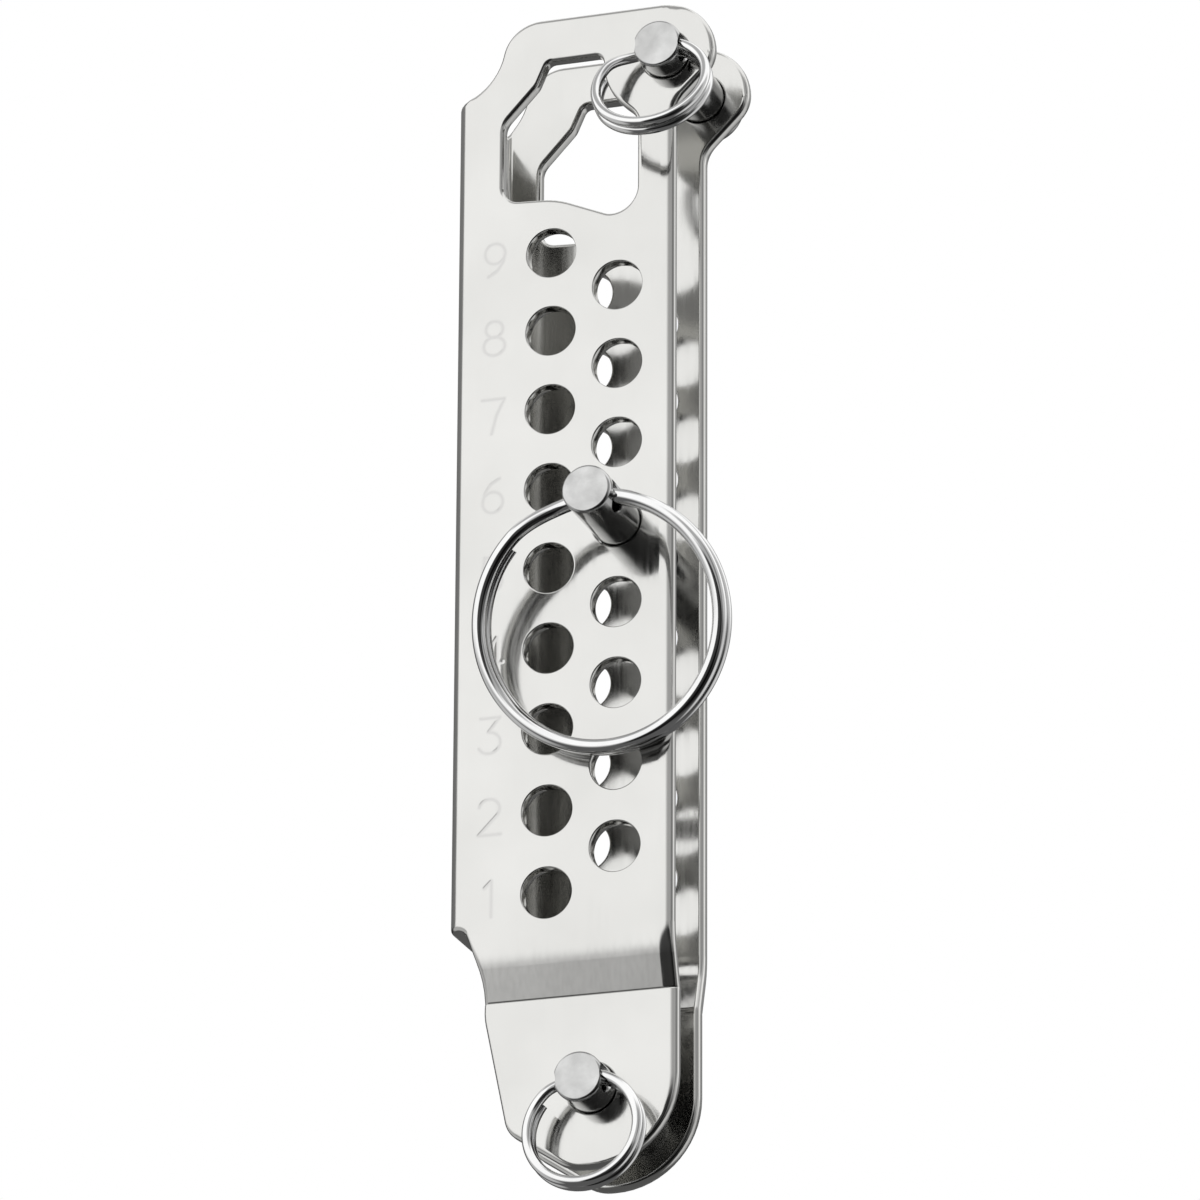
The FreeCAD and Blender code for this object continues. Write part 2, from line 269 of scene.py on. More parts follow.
channel = {  # millimetres and degrees; a pair is for the front plate and the back plate
    "sheet": 1.5,
    "foldInsideRadius": 0.6,
    "gap": 9.6,
    "forkGap": 6.6,
    "joggleTop": 13.4,
    "joggleHeight": 4.45,
    "joggleUpperRadius": 7.5,
    "joggleLowerRadius": 0.8,
    "pressLineDepth": 0.05,
    "pressLineHalfWidth": 0.1,
    "holeRadius": 2.45,
    "holePitch": 8.0,
    "leftHoles": 9,
    "rightHoles": 8,
    "leftX": -4.0,
    "firstZ": 18.7,
    "columnSpacing": 6.65,
    "columnStagger": 3.9,
    "rightMargins": (5.6, 5.1),
    "webMargin": 9.9,
    "webBottom": 15.9,
    "webTop": 99.3,
    "webCornerReach": 8.1,
    "webCornerRadius": 0.8,
    "shoulders": (0.0, 1.4),
    "shoulderFootReach": 6.13,
    "shoulderFootRadius": 6.0,
    "shoulderTopReach": 4.43,
    "shoulderTopRadius": 3.9,
    "topEdge": 107.2,
    "earRight": 12.2,
    "earRadius": 5.2,
    "earHeelRadius": 3.3,
    "earNeckRadius": 3.0,
    "earSlope": 45,
    "bottomEdge": -7.5,
    "forkRadius": 8.4,
    "forkFlatLeft": -2.2,
    "forkFlatRadius": 4.0,
    "forkToeX": -8.27,
    "forkToeZ": -3.54,
    "forkToeRadius": 2.5,
    "forkHeelX": -10.6,
    "forkHeelDrop": 1.2,
    "forkHeelRadius": 6.0,
    "forkNeckX": -10.4,
    "forkNeckDrop": 2.2,
    "forkNeckRadius": 9.0,
    "windowSillRise": 3.4,
    "windowHeadDrop": 4.5,
    "windowCorners": {  # each: its upright line and level line, distances from them, radius
        "browCorner": ("leftHoles", "head", -0.55, 0.0, 0.8),
        "browStep": ("leftHoles", "head", -1.6, -2.4, 2.0),
        "browFoot": ("leftHoles", "head", -4.97, -6.0, 2.0),
        "lowerLeft": ("leftHoles", "sill", -4.97, 2.5, 1.6),
        "sillRise": ("leftHoles", "sill", 0.4, 2.2, 8.0),
        "sillDip": ("rightHoles", "sill", -1.05, 0.0, 1.8),
        "lowerRight": ("rightHoles", "sill", 1.92, 0.0, 2.6),
        "upperRight": ("rightHoles", "pinHeight", 1.92, -5.9, 2.2),
        "bossFoot": ("pin", "pinHeight", -6.3, -2.87, 6.3),
        "bossTop": ("pin", "head", -6.3, 0.0, 0.8),
    },
    "edgeRound": 0.5,
    "windowRound": 0.4,
    "holeRound": 0.14,
    "softEdge": 2.6,
    "softReach": 1.0,
    "roundSteps": 4,
    "supportRow": 0.05,
    "foldCuts": 12,
    "joggleCuts": 8,
    "cutTolerance": 1e-5,
    "sharpOver": 35,
}
digits = {  # millimetres; strokeFade is in half widths of the stroke
    "height": 3.5,
    "width": 2.25,
    "centreX": -9.65,
    "belowHole": 0.1,
    "strokeHalfWidth": 0.17,
    "strokeFade": 3,
    "depth": 0.045,
    "patchWidth": 3.4,
    "patchHeight": 4.6,
    "pitch": 0.075,
}


def plateOutline(c, rightMargin, shoulder):
    # one plate's corners, from the fork's lower right round by the fold to the ear
    rightEdge = c["leftX"] + c["columnSpacing"] + rightMargin
    beyond = c["leftX"] - 2 * c["webMargin"]  # past the fold; halfBlank cuts it off
    joggleBottom = c["joggleTop"] - c["joggleHeight"]
    footX = c["leftX"] - c["shoulderFootReach"] - shoulder
    shoulderX = c["leftX"] - c["shoulderTopReach"] - shoulder
    heelRun = c["earHeelRadius"] * math.tan(math.radians(c["earSlope"]) / 2)
    slopeZ = c["topEdge"] - c["earRadius"] - heelRun
    return [
        (rightEdge, c["bottomEdge"], c["forkRadius"]),
        (c["forkFlatLeft"], c["bottomEdge"], c["forkFlatRadius"]),
        (c["forkToeX"], c["forkToeZ"], c["forkToeRadius"]),
        (c["forkHeelX"], joggleBottom - c["forkHeelDrop"], c["forkHeelRadius"]),
        (c["forkNeckX"], c["joggleTop"] - c["forkNeckDrop"], c["forkNeckRadius"]),
        (c["leftX"] - c["webCornerReach"], c["webBottom"], c["webCornerRadius"]),
        (beyond, c["webBottom"], 0),
        (beyond, c["webTop"], 0),
        (footX, c["webTop"], c["shoulderFootRadius"]),
        (shoulderX, c["topEdge"], c["shoulderTopRadius"]),
        (c["earRight"], c["topEdge"], c["earRadius"]),
        (c["earRight"], slopeZ, c["earHeelRadius"]),
        (rightEdge, slopeZ - (c["earRight"] - rightEdge), c["earNeckRadius"]),
    ]


def windowOutline(c):
    lines = {
        "leftHoles": c["leftX"],
        "rightHoles": c["leftX"] + c["columnSpacing"],
        "pin": pinAxis["top"].x,
        "pinHeight": pinAxis["top"].z,
        "sill": c["firstZ"] + (c["leftHoles"] - 1) * c["holePitch"] + c["windowSillRise"],
        "head": c["topEdge"] - c["windowHeadDrop"],
    }
    outline = []
    for upright, level, x, z, radius in c["windowCorners"].values():
        outline.append((lines[upright] + x, lines[level] + z, radius))
    return outline


def arcStroke(cx, cz, rx, rz, start, end, steps=14):
    turns = [math.radians(start + (end - start) * k / steps) for k in range(steps + 1)]
    return [(cx + rx * math.cos(t), cz + rz * math.sin(t)) for t in turns]


def loopStroke(cx, cz, rx, rz):
    return arcStroke(cx, cz, rx, rz, 0, 360, 24)


# Strokes of the stamped digits, in a box from 0 to 1 each way
digitStrokes = {
    1: [[(0.3, 0.8), (0.62, 1.0), (0.62, 0.0)]],
    2: [arcStroke(0.5, 0.72, 0.45, 0.28, 165, -35) + [(0.02, 0.0), (1.0, 0.0)]],
    3: [[(0.08, 1.0), (0.92, 1.0), (0.42, 0.6)] + arcStroke(0.45, 0.3, 0.5, 0.3, 85, -150)],
    4: [[(0.75, 0.0), (0.75, 1.0), (0.0, 0.28), (1.0, 0.28)]],
    5: [[(0.9, 1.0), (0.18, 1.0), (0.1, 0.55)] + arcStroke(0.47, 0.32, 0.48, 0.32, 125, -145)],
    6: [loopStroke(0.5, 0.3, 0.45, 0.3), [(0.8, 0.97), (0.4, 0.82), (0.13, 0.55), (0.05, 0.3)]],
    7: [[(0.0, 1.0), (0.98, 1.0), (0.62, 0.5), (0.42, 0.0)]],
    8: [loopStroke(0.5, 0.76, 0.38, 0.24), loopStroke(0.5, 0.27, 0.47, 0.27)],
    9: [loopStroke(0.5, 0.7, 0.45, 0.3), [(0.2, 0.03), (0.6, 0.18), (0.87, 0.45), (0.95, 0.7)]],
}


def strokeDistance(x, z, segments):
    nearest = math.inf
    for ax, az, dx, dz in segments:
        t = min(1.0, max(0.0, ((x - ax) * dx + (z - az) * dz) / (dx * dx + dz * dz)))
        nearest = min(nearest, math.hypot(x - ax - t * dx, z - az - t * dz))
    return nearest


def addPatch(bm, digit, centreX, centreZ, surface, d):
    # a fine grid let into the plate's face, pressed in along the digit's strokes
    strokeShade = bm.verts.layers.float["strokeShade"]
    segments = []
    left, bottom = centreX - d["width"] / 2, centreZ - d["height"] / 2
    for stroke in digitStrokes[digit]:
        placed = [(left + a * d["width"], bottom + b * d["height"]) for a, b in stroke]
        for (ax, az), (bx, bz) in zip(placed, placed[1:]):
            segments.append((ax, az, bx - ax, bz - az))
    columns = round(d["patchWidth"] / d["pitch"])
    rows = round(d["patchHeight"] / d["pitch"])
    grid = []
    for r in range(rows + 1):
        z = centreZ + d["patchHeight"] * (r / rows - 0.5)
        row = []
        for k in range(columns + 1):
            x = centreX + d["patchWidth"] * (k / columns - 0.5)
            reach = strokeDistance(x, z, segments) / d["strokeHalfWidth"]
            pressed = math.exp(-(reach ** 2)) if reach < d["strokeFade"] else 0.0
            vert = bm.verts.new((x, z, surface - d["depth"] * pressed))
            # the press share also sets how much painted shade the material puts into the stroke
            vert[strokeShade] = pressed
            row.append(vert)
        grid.append(row)
    for r in range(rows):
        for k in range(columns):
            bm.faces.new((grid[r][k], grid[r][k + 1], grid[r + 1][k + 1], grid[r + 1][k]))
    rightSide = [row[-1] for row in grid[1:]]
    leftSide = [row[0] for row in grid[-2:0:-1]]
    return loopEdges(bm, grid[0] + rightSide + grid[-1][-2::-1] + leftSide)


def loopEdges(bm, verts):
    return [bm.edges.get((vert, verts[(i + 1) % len(verts)])) for i, vert in enumerate(verts)]


def addRim(bm, points, isHole, sheet, rimRadius, steps, support, widen):
    # walls along one loop of the blank, rounded into both faces, with a narrow flat row past
    # each round that keeps the face's shading flat; gives the edges that the faces fill to
    area = sum(p.x * q.y - q.x * p.y for p, q in zip(points, points[1:] + points[:1]))
    if area < 0:
        points = points[::-1]
    inward = -1 if isHole else 1
    leastStretch = 0.5
    insets = []
    for i, here in enumerate(points):
        on = (points[(i + 1) % len(points)] - here).normalized()
        back = (here - points[i - 1]).normalized()
        bisector = Vector((-on.y - back.y, on.x + back.x)).normalized()
        stretch = max(leastStretch, bisector.dot(Vector((-on.y, on.x))))
        insets.append(bisector * inward / stretch)
    upper = [(rimRadius + support, sheet / 2)]
    for k in range(steps + 1):
        t = math.pi / 2 * (1 - k / steps)
        upper.append((rimRadius * (1 - math.cos(t)), sheet / 2 - rimRadius * (1 - math.sin(t))))
    levels = upper + [(inset, -height) for inset, height in reversed(upper)]
    rows = []
    for inset, height in levels:
        spots = [p + n * inset * widen(p) for p, n in zip(points, insets)]
        rows.append([bm.verts.new((*spot, height)) for spot in spots])
    for upperRow, lowerRow in zip(rows, rows[1:]):
        for i in range(len(points)):
            j = (i + 1) % len(points)
            bm.faces.new((upperRow[i], upperRow[j], lowerRow[j], lowerRow[i]))
    return loopEdges(bm, rows[0]), loopEdges(bm, rows[-1])


def makeChannel(c, d):
    half = c["sheet"] / 2
    midY = c["gap"] / 2 + half
    forkY = c["forkGap"] / 2 + half
    foldMid = c["foldInsideRadius"] + half
    webOuter = c["leftX"] - c["webMargin"]
    foldX = webOuter + c["foldInsideRadius"] + c["sheet"]
    arc = foldMid * math.pi / 2
    webFlat = 2 * (midY - foldMid)
    middleU = foldX - arc - webFlat / 2
    rightX = c["leftX"] + c["columnSpacing"]

    def unfoldX(x):
        # the outline is known as seen from the front; past the fold line it follows the bend
        if x >= foldX:
            return x
        return foldX - foldMid * math.asin(min(1.0, (foldX - x) / foldMid))

    def backSide(points):
        return [Vector((2 * middleU - p.x, p.y)) for p in points]

    def halfBlank(side):
        outline = roundedLoop(plateOutline(c, c["rightMargins"][side], c["shoulders"][side]))
        split = next(i for i, p in enumerate(outline) if p.x <= foldX - foldMid)
        half = [p for p in outline[split:] + outline[:split] if p.x > foldX - foldMid]
        return [Vector((unfoldX(p.x), p.y)) for p in half]

    blank = halfBlank(0) + backSide(halfBlank(1))[::-1]
    frontRight = rightX + c["rightMargins"][0]

    def widenRound(p):
        # the long right edge of the front plate is rounded over further than the rest
        return 1 + (c["softEdge"] - 1) * max(0.0, 1 - abs(p.x - frontRight) / c["softReach"])

    holes = []
    for i in range(c["leftHoles"]):
        holes.append((c["leftX"], c["firstZ"] + i * c["holePitch"]))
    for i in range(c["rightHoles"]):
        holes.append((rightX, c["firstZ"] + c["columnStagger"] + i * c["holePitch"]))
    holes += [(pinAxis[name].x, pinAxis[name].z) for name in ("top", "chainplate")]

    bm = bmesh.new()
    # each vertex's share of the painted shade in the digits' strokes
    bm.verts.layers.float.new("strokeShade")
    opening = roundedLoop(windowOutline(c))
    loops = [(blank, c["edgeRound"], False)]
    loops += [(points, c["windowRound"], True) for points in (opening, backSide(opening))]
    for x, z in holes:
        hole = circleLoop(x, z, c["holeRadius"])
        loops += [(points, c["holeRound"], True) for points in (hole, backSide(hole))]
    outerEdges, innerEdges = [], []
    for points, rimRadius, isHole in loops:
        outer, inner = addRim(
            bm, points, isHole, c["sheet"], rimRadius, c["roundSteps"], c["supportRow"], widenRound)
        outerEdges += outer
        innerEdges += inner
    for i in range(c["leftHoles"]):
        z = c["firstZ"] + i * c["holePitch"] - d["belowHole"]
        outerEdges += addPatch(bm, i + 1, d["centreX"], z, half, d)
    for edges, facing in ((outerEdges, (0, 0, 1)), (innerEdges, (0, 0, -1))):
        bmesh.ops.triangle_fill(
            bm, use_beauty=True, use_dissolve=False, edges=edges, normal=facing)
    bmesh.ops.recalc_face_normals(bm, faces=bm.faces[:])
    print("  blank cut:", len(bm.faces), "faces")

    # where the joggle's two bends start and end, as heights on the flat blank
    slope = math.atan2(midY - forkY, c["joggleHeight"])
    upperZ = c["joggleTop"] + c["sheet"] * math.tan(slope / 2) / 2
    lowerZ = upperZ - c["joggleHeight"]
    upperRadius = c["joggleUpperRadius"] + half
    lowerRadius = c["joggleLowerRadius"] + half
    upperRun = upperRadius * math.tan(slope / 2)
    lowerRun = lowerRadius * math.tan(slope / 2)
    upperStart, upperEnd = upperZ + upperRun, upperZ - upperRun * math.cos(slope)
    lowerStart, lowerEnd = lowerZ + lowerRun * math.cos(slope), lowerZ - lowerRun

    def cutAcross(planePoint, planeNormal):
        parts = bm.verts[:] + bm.edges[:] + bm.faces[:]
        bmesh.ops.bisect_plane(
            bm, geom=parts, dist=c["cutTolerance"], plane_co=planePoint, plane_no=planeNormal)

    def cutBothFolds(u):
        cutAcross((u, 0, 0), (1, 0, 0))
        cutAcross((2 * middleU - u, 0, 0), (1, 0, 0))

    def cutAtHeight(z):
        cutAcross((0, z, 0), (0, 1, 0))

    # lines across the bends, so that the sheet can curve there, with a support row beside each
    for k in range(c["foldCuts"] + 1):
        cutBothFolds(foldX - arc * k / c["foldCuts"])
    for first, last in ((upperStart, upperEnd), (lowerStart, lowerEnd)):
        for k in range(c["joggleCuts"] + 1):
            cutAtHeight(first + (last - first) * k / c["joggleCuts"])
        cutAtHeight(first + c["supportRow"])
        cutAtHeight(last - c["supportRow"])
    cutBothFolds(foldX + c["supportRow"])
    cutBothFolds(foldX - arc - c["supportRow"])

    def joggleAt(z):
        # half gap at the middle of the sheet, and the slope there
        if z >= upperStart:
            return midY, 0.0
        if z <= lowerEnd:
            return forkY, 0.0
        if z > upperEnd:
            turn = math.asin((upperStart - z) / upperRadius)
            return midY - upperRadius * (1 - math.cos(turn)), turn
        if z < lowerStart:
            turn = math.asin((z - lowerEnd) / lowerRadius)
            return forkY + lowerRadius * (1 - math.cos(turn)), turn
        return midY - (upperZ - z) * math.tan(slope), slope

    for vert in bm.verts:
        u, z, h = vert.co
        side = 1.0
        if u < middleU:
            u = 2 * middleU - u
            side = -1.0
        past = foldX - u
        if past <= 0:
            y, turn = joggleAt(z)
            if h > 0:  # the press leaves a line in the lower bend
                fromLine = (z - lowerZ) / c["pressLineHalfWidth"]
                y -= c["pressLineDepth"] * math.exp(-(fromLine ** 2))
            place = Vector((u, -y - h * math.cos(turn), z - h * math.sin(turn)))
        elif past < arc:
            turn = past / foldMid
            reach = foldMid + h
            foldY = -midY + foldMid
            place = Vector((foldX - reach * math.sin(turn), foldY - reach * math.cos(turn), z))
        else:
            place = Vector((foldX - foldMid - h, -midY + foldMid + past - arc, z))
        vert.co = Vector((place.x, place.y * side, place.z)) * mm
    return smoothOver(newPiece("channel", bm, sheetSteel), c["sharpOver"])


channelPiece = makeChannel(channel, digits)
print("Channel folded:", len(channelPiece.data.polygons), "faces")


# Clevis pins: turned on the lathe, then drilled across for the ring

pins = {  # millimetres and degrees; a share is of the radius, or of the dish's depth
    "radius": 2.38,
    "tipRound": 0.32,
    "tipDish": 0.05,
    "dishFloorShare": 0.12,
    "dishWallShare": 0.55,
    "dishWallDepthShare": 0.6,
    "headRadius": 3.6,
    "headThickness": 1.4,
    "headPlay": 0.1,
    "headRound": 0.35,
    "headUnderRound": 0.15,
    "headUnderSteps": 3,
    "headFlatShare": 0.3,
    "roundSteps": 5,
    "segments": 128,
    "countersink": 0.18,
    "drillPast": 0.2,
    "drillSegments": 64,
    "sharpOver": 30,
    "top": {"faceY": 6.3, "reach": 2.9, "crossRadius": 1.3, "fromTip": 1.45, "turn": 3},
    "adjusting": {"faceY": 6.3, "reach": 9.1, "crossRadius": 1.48, "fromTip": 2.7, "turn": 0},
    "chainplate": {"faceY": 4.8, "reach": 4.1, "crossRadius": 1.3, "fromTip": 1.45, "turn": -3},
}


def cornerArc(r, y, radius, start, steps):
    # quarter round about (r, y), from the angle start, in the plane of radius and Y
    turns = [math.radians(start + 90 * k / steps) for k in range(steps + 1)]
    return [(r + radius * math.cos(t), y + radius * math.sin(t)) for t in turns]


def lathe(bm, profile, segments, alongX=False):
    # revolves a list of (radius, place) about Y, or about X
    rounds = []
    for r, y in profile:
        row = []
        for k in range(segments):
            t = 2 * math.pi * k / segments
            a, b = r * math.cos(t), r * math.sin(t)
            row.append(bm.verts.new((y, a, b) if alongX else (a, y, b)))
        rounds.append(row)
    for low, high in zip(rounds, rounds[1:]):
        for k in range(segments):
            n = (k + 1) % segments
            bm.faces.new((low[k], low[n], high[n], high[k]))
    for row in (rounds[0], rounds[-1]):
        bm.faces.new(row)
    bmesh.ops.recalc_face_normals(bm, faces=bm.faces[:])


def pinProfile(p, tip, head):
    back = head + p["headThickness"]
    shank, tipRound = p["radius"], p["tipRound"]
    under, over = p["headUnderRound"], p["headRound"]
    profile = [(shank * p["dishFloorShare"], tip + p["tipDish"])]
    profile += [(shank * p["dishWallShare"], tip + p["tipDish"] * p["dishWallDepthShare"])]
    profile += cornerArc(shank - tipRound, tip + tipRound, tipRound, -90, p["roundSteps"])
    profile += [(shank, head)]
    profile += cornerArc(p["headRadius"] - under, head + under, under, -90, p["headUnderSteps"])
    profile += cornerArc(p["headRadius"] - over, back - over, over, 0, p["roundSteps"])
    return profile + [(p["headRadius"] * p["headFlatShare"], back)]


def makeDrill(p, hole, placeY):
    # the drill leaves a small countersink on each side
    sink, past = p["countersink"], p["radius"] + p["drillPast"]
    face = math.sqrt(p["radius"] ** 2 - hole ** 2)
    profile = [(hole + sink * 2, -past), (hole, -face + sink)]
    profile += [(hole, face - sink), (hole + sink * 2, past)]
    bm = bmesh.new()
    lathe(bm, profile, p["drillSegments"], alongX=True)
    bmesh.ops.translate(bm, verts=bm.verts[:], vec=(0, placeY, 0))
    return newPiece("drill", bm)


def makePin(name, p):
    own = p[name]
    tip = -own["faceY"] - own["reach"]
    bm = bmesh.new()
    lathe(bm, pinProfile(p, tip, own["faceY"] + p["headPlay"]), p["segments"])
    pin = newPiece(name + "Pin", bm, pinSteel)
    drill = makeDrill(p, own["crossRadius"], tip + own["fromTip"])
    drilled = pin.modifiers.new("crossHole", "BOOLEAN")
    drilled.operation = "DIFFERENCE"
    drilled.solver = "EXACT"
    drilled.object = drill
    plainMesh(pin)
    bpy.data.objects.remove(drill)
    turned = Matrix.Rotation(math.radians(own["turn"]), 4, "Y")
    placed = Matrix.Translation(pinAxis[name]) @ turned
    pin.data.transform(Matrix.Scale(mm, 4) @ placed)
    pin.data.materials.clear()
    pin.data.materials.append(pinSteel)
    return smoothOver(pin, p["sharpOver"])


pinPieces = {name: makePin(name, pins) for name in ("top", "adjusting", "chainplate")}
print("Pins turned and drilled")


# Split rings: one wire in two flat turns, with a crossing where the two cut ends lie

rings = {  # millimetres and degrees
    "top": {"wire": 1.0, "radius": 5.4, "crossing": 42, "split": -44, "lean": 23, "turn": 3},
    "adjusting": {"wire": 1.4, "radius": 11.74, "crossing": 26, "split": -30, "lean": -12, "turn": 0.5},
    "chainplate": {"wire": 1.0, "radius": 5.3, "crossing": 42, "split": -20, "lean": 8, "turn": -5},
}
ringMaking = {"turnGap": 0.06, "cutGap": 0.3, "rows": 420, "wireSides": 28, "sharpOver": 45}


def ringTree(material):
    tree = bpy.data.node_groups.new("splitRing", "GeometryNodeTree")
    face = tree.interface
    for label, kind in (
        ("Rows", "NodeSocketInt"),
        ("Wire Sides", "NodeSocketInt"),
        ("Wire Radius", "NodeSocketFloat"),
        ("Ring Radius", "NodeSocketFloat"),
        ("Hang", "NodeSocketFloat"),
        ("Half Step", "NodeSocketFloat"),
        ("Start", "NodeSocketFloat"),
        ("End", "NodeSocketFloat"),
        ("Crossing Start", "NodeSocketFloat"),
        ("Crossing End", "NodeSocketFloat"),
        ("Attitude", "NodeSocketRotation"),
        ("Place", "NodeSocketVector"),
    ):
        face.new_socket(label, in_out="INPUT", socket_type=kind)
    face.new_socket("Geometry", in_out="OUTPUT", socket_type="NodeSocketGeometry")
    given = addNode(tree, "NodeGroupInput").outputs
    out = addNode(tree, "NodeGroupOutput")
    link = tree.links.new

    def maths(operation, a, b=None):
        node = addNode(tree, "ShaderNodeMath", operation=operation)
        for socket, value in zip(node.inputs, (a, b)):
            if isinstance(value, (int, float)):
                socket.default_value = value
            elif value is not None:
                link(value, socket)
        return node.outputs[0]

    # the wire's middle line: an angle for each row, and a step from turn to turn at the crossing
    line = addNode(tree, "GeometryNodeMeshLine")
    link(given["Rows"], line.inputs["Count"])
    index = addNode(tree, "GeometryNodeInputIndex")
    share = maths("DIVIDE", index.outputs[0], maths("SUBTRACT", given["Rows"], 1))
    angle = addNode(tree, "ShaderNodeMapRange")
    link(share, angle.inputs["Value"])
    link(given["Start"], angle.inputs["To Min"])
    link(given["End"], angle.inputs["To Max"])
    step = addNode(tree, "ShaderNodeMapRange", interpolation_type="SMOOTHSTEP")
    link(angle.outputs[0], step.inputs["Value"])
    link(given["Crossing Start"], step.inputs["From Min"])
    link(given["Crossing End"], step.inputs["From Max"])
    link(maths("MULTIPLY", given["Half Step"], -1), step.inputs["To Min"])
    link(given["Half Step"], step.inputs["To Max"])
    point = addNode(tree, "ShaderNodeCombineXYZ")
    sideways = maths("MULTIPLY", given["Ring Radius"], maths("SINE", angle.outputs[0]))
    rise = maths("MULTIPLY", given["Ring Radius"], maths("COSINE", angle.outputs[0]))
    link(sideways, point.inputs["X"])
    link(step.outputs[0], point.inputs["Y"])
    link(maths("ADD", rise, given["Hang"]), point.inputs["Z"])
    place = addNode(tree, "GeometryNodeSetPosition")
    link(line.outputs["Mesh"], place.inputs["Geometry"])
    link(point.outputs[0], place.inputs["Position"])
    path = addNode(tree, "GeometryNodeMeshToCurve")
    link(place.outputs[0], path.inputs["Mesh"])

    # the round wire along it, hung in the pin's cross hole
    section = addNode(tree, "GeometryNodeCurvePrimitiveCircle")
    link(given["Wire Sides"], section.inputs["Resolution"])
    link(given["Wire Radius"], section.inputs["Radius"])
    wire = addNode(tree, "GeometryNodeCurveToMesh")
    link(path.outputs[0], wire.inputs["Curve"])
    link(section.outputs[0], wire.inputs["Profile Curve"])
    wire.inputs["Fill Caps"].default_value = True
    hung = addNode(tree, "GeometryNodeTransform")
    link(wire.outputs[0], hung.inputs["Geometry"])
    link(given["Attitude"], hung.inputs["Rotation"])
    link(given["Place"], hung.inputs["Translation"])
    real = addNode(tree, "GeometryNodeRealizeInstances")
    link(hung.outputs[0], real.inputs[0])
    coat = addNode(tree, "GeometryNodeSetMaterial")
    coat.inputs["Material"].default_value = material
    link(real.outputs[0], coat.inputs["Geometry"])
    link(coat.outputs[0], out.inputs[0])
    return tree


def makeRing(name, r, making, tree):
    wireRadius = r["wire"] / 2
    radius = r["radius"]
    dip = radius - math.sqrt(radius ** 2 - pins["radius"] ** 2)
    cut = math.degrees((making["cutGap"] + wireRadius) / radius)
    halfCrossing = r["crossing"] / 2
    sizes = {
        "Rows": making["rows"],
        "Wire Sides": making["wireSides"],
        "Wire Radius": wireRadius * mm,
        "Ring Radius": radius * mm,
        "Hang": (-radius + dip / 2) * mm,
        "Half Step": (r["wire"] + making["turnGap"]) / 2 * mm,
        "Start": math.radians(r["split"] + halfCrossing + cut),
        "End": math.radians(r["split"] + 720 - halfCrossing - cut),
        "Crossing Start": math.radians(r["split"] + 360 - halfCrossing),
        "Crossing End": math.radians(r["split"] + 360 + halfCrossing),
        "Attitude": Euler((math.radians(-r["lean"]), math.radians(r["turn"]), 0)),
        "Place": crossHole[name] * mm,
    }
    ring = newObject(name + "Ring", bpy.data.meshes.new(name + "Ring"))
    winding = ring.modifiers.new("splitRing", "NODES")
    winding.node_group = tree
    for item in tree.interface.items_tree:
        if item.item_type == "SOCKET" and item.in_out == "INPUT":
            winding[item.identifier] = sizes[item.name]
    return smoothOver(plainMesh(ring), making["sharpOver"])


ringNodes = ringTree(wireSteel)
ringPieces = {name: makeRing(name, rings[name], ringMaking, ringNodes) for name in rings}
print("Rings wound:", {name: len(ring.data.polygons) for name, ring in ringPieces.items()})


# Each new piece stands for its CAD node and rides on that node's body

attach(channelPiece, "channel")
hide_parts("channel_body")
for name in rings:
    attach(pinPieces[name], name + "_pin_body")
    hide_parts(name + "_pin")
    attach(ringPieces[name], name + "_ring_body")
    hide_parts(name + "_ring")
for node in frame["nodes"].values():
    steel = sheetSteel if "channel" in node.name else wireSteel if "ring" in node.name else pinSteel
    node.data.materials.clear()
    node.data.materials.append(steel)
print("Pieces tied to their bodies")


# Studio: a pale floor far below, soft light from above and in front, and the photograph's camera

studio = {  # the floor is in metres
    "floorZ": -0.45,
    "floorSize": 5.0,
    "floorTone": (0.8, 0.79, 0.77),
    "floorRoughness": 0.9,
    "background": 1.0,
    "lightFrom": (0.109, -0.326, 0.939),
    "lightDim": 0.12,
    "lightFull": 1.29,
    "lightEdges": (-0.35, 0.25),
    "shades": {  # darker patches of the room, and the share of the light that is left in each
        "cameraSide": {"towards": (0.297, -0.891, -0.344), "edges": (0.805, 0.875), "keep": 0.05},
        "behind": {"towards": (0.05, 0.93, 0.36), "edges": (0.80, 0.94), "keep": 0.38},
        "behindLeft": {"towards": (-0.80, 0.48, 0.34), "edges": (0.80, 0.91), "keep": 0.2},
        "overhead": {"towards": (-0.29, -0.15, 0.94), "edges": (0.86, 0.96), "keep": 0.4},
        "right": {"towards": (0.93, -0.2, 0.3), "edges": (0.80, 0.93), "keep": 0.5},
        "frontRight": {"towards": (0.6, -0.72, 0.35), "edges": (0.82, 0.94), "keep": 0.4},
        "lowFrontRight": {"towards": (0.75, -0.45, -0.5), "edges": (0.78, 0.94), "keep": 0.15},
    },
    "fills": {  # patches that are never darker than their level
        "lowBehindRight": {"towards": (0.75, 0.6, -0.28), "edges": (0.78, 0.96), "level": 0.75},
        "lowLeft": {"towards": (-0.9, -0.1, -0.35), "edges": (0.78, 0.96), "level": 0.6},
    },
}
camera = {  # millimetres and degrees
    "target": (1.089, -6.3, 46.912),
    "distance": 708.9,
    "azimuth": 18.449,
    "elevation": -20.13,
    "roll": 0.312,
    "lens": 227.6,
    "sensorWidth": 36,
    "nearest": 50,
    "farthest": 20000,
}

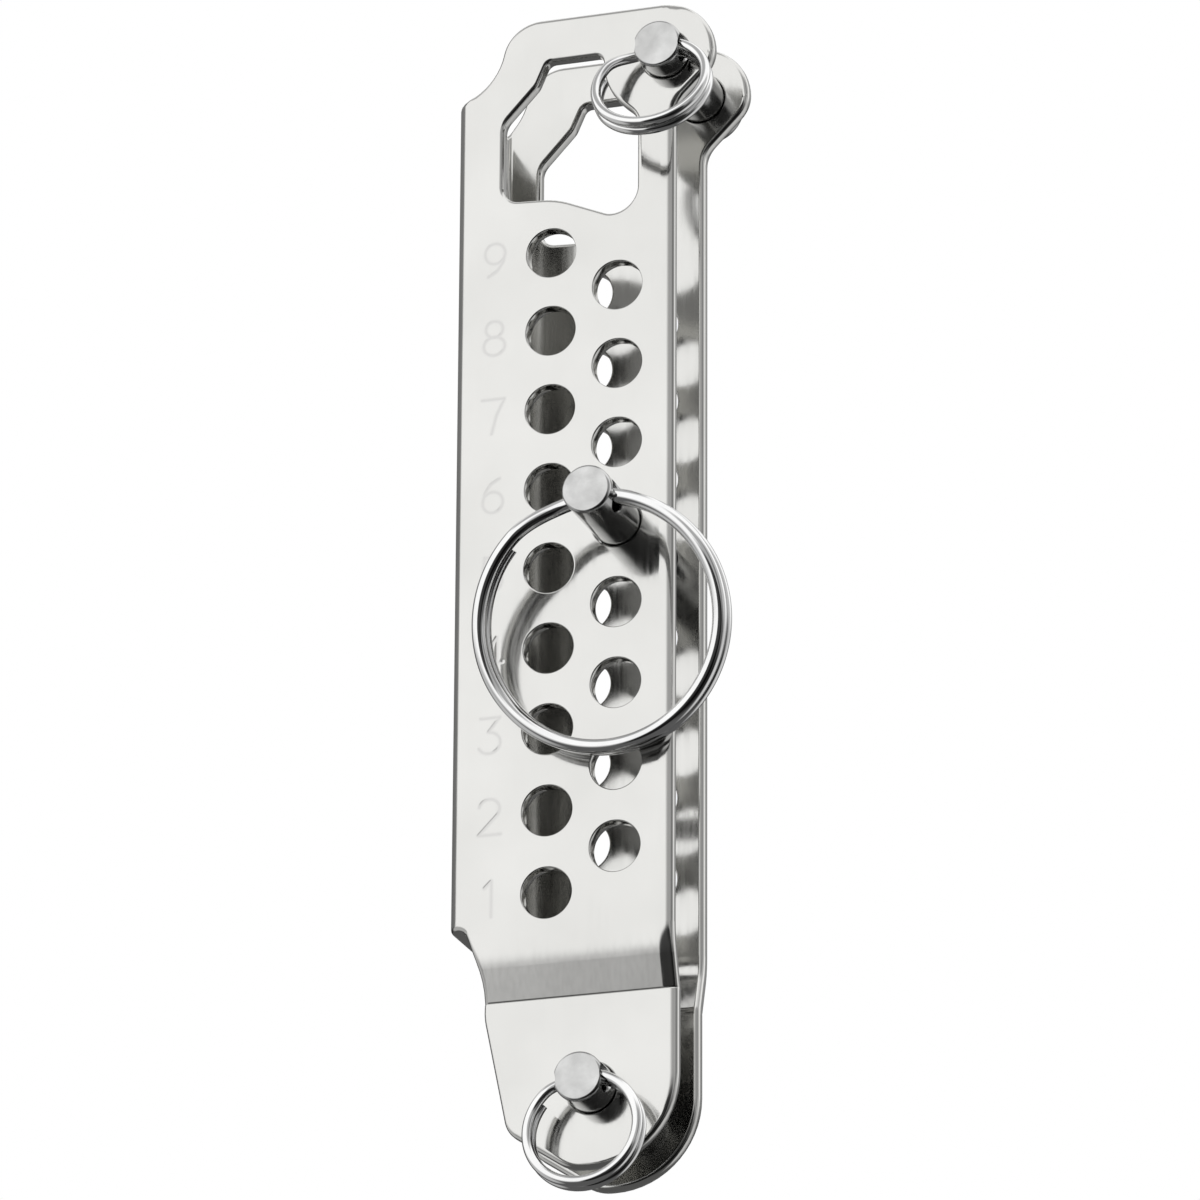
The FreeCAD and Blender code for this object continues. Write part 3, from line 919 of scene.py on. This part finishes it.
floorMesh = bpy.data.meshes.new("floor")
reach = studio["floorSize"] / 2
corners = [(-reach, -reach), (reach, -reach), (reach, reach), (-reach, reach)]
floorMesh.from_pydata([(x, y, studio["floorZ"]) for x, y in corners], [], [(0, 1, 2, 3)])
floorPaint = bpy.data.materials.new("paleFloor")
floorPaint.use_nodes = True
floorShader = floorPaint.node_tree.nodes["Principled BSDF"]
floorShader.inputs["Base Color"].default_value = (*studio["floorTone"], 1)
floorShader.inputs["Roughness"].default_value = studio["floorRoughness"]
floor = newObject("floor", floorMesh, floorPaint)
floor.visible_glossy = False  # the steel sees the dark below it instead

world = bpy.data.worlds.new("softStudio")
scene.world = world
world.use_nodes = True
sky = world.node_tree
skyCoords = addNode(sky, "ShaderNodeTexCoord")


def patchOfSky(direction, edges, outside, inside):
    # a soft round patch; its edges are cosines of the angle from the direction
    facing = addNode(sky, "ShaderNodeVectorMath", operation="DOT_PRODUCT")
    facing.inputs[1].default_value = Vector(direction).normalized()
    sky.links.new(skyCoords.outputs["Generated"], facing.inputs[0])
    patch = addNode(sky, "ShaderNodeMapRange", interpolation_type="SMOOTHSTEP")
    patch.inputs["From Min"].default_value, patch.inputs["From Max"].default_value = edges
    patch.inputs["To Min"].default_value = outside
    patch.inputs["To Max"].default_value = inside
    sky.links.new(facing.outputs["Value"], patch.inputs["Value"])
    return patch.outputs[0]


def join(operation, first, second):
    joined = addNode(sky, "ShaderNodeMath", operation=operation)
    sky.links.new(first, joined.inputs[0])
    sky.links.new(second, joined.inputs[1])
    return joined.outputs[0]


brightness = patchOfSky(
    studio["lightFrom"], studio["lightEdges"], studio["lightDim"], studio["lightFull"])
for shade in studio["shades"].values():
    patch = patchOfSky(shade["towards"], shade["edges"], 1.0, shade["keep"])
    brightness = join("MULTIPLY", brightness, patch)
for fill in studio["fills"].values():
    patch = patchOfSky(fill["towards"], fill["edges"], 0.0, fill["level"])
    brightness = join("MAXIMUM", brightness, patch)
floatMix = {"share": 0, "first": 2, "second": 3}  # a number Mix node's sockets
seen = addNode(sky, "ShaderNodeLightPath")
backdrop = addNode(sky, "ShaderNodeMix", data_type="FLOAT")
sky.links.new(seen.outputs["Is Camera Ray"], backdrop.inputs[floatMix["share"]])
sky.links.new(brightness, backdrop.inputs[floatMix["first"]])
backdrop.inputs[floatMix["second"]].default_value = studio["background"]
sky.nodes["Background"].inputs["Color"].default_value = (1, 1, 1, 1)
sky.links.new(backdrop.outputs[0], sky.nodes["Background"].inputs["Strength"])

azimuth, elevation, roll = (math.radians(camera[key]) for key in ("azimuth", "elevation", "roll"))
levelShare = math.cos(elevation)
look = Vector(
    (-math.sin(azimuth) * levelShare, math.cos(azimuth) * levelShare, -math.sin(elevation)))
right = Vector((math.cos(azimuth), math.sin(azimuth), 0))
up = right.cross(look)
tiltedRight = right * math.cos(roll) + up * math.sin(roll)
tiltedUp = up * math.cos(roll) - right * math.sin(roll)
lens = bpy.data.cameras.new("camera")
lens.sensor_width = camera["sensorWidth"]
lens.lens = camera["lens"]
lens.clip_start = camera["nearest"] * mm
lens.clip_end = camera["farthest"] * mm
viewer = newObject("camera", lens)
axes = Matrix((tiltedRight, tiltedUp, -look)).transposed().to_4x4()
stand = Vector(camera["target"]) - look * camera["distance"]
viewer.matrix_world = Matrix.Translation(stand * mm) @ axes
scene.camera = viewer
scene.view_settings.view_transform = "Standard"
print("Studio and camera set")
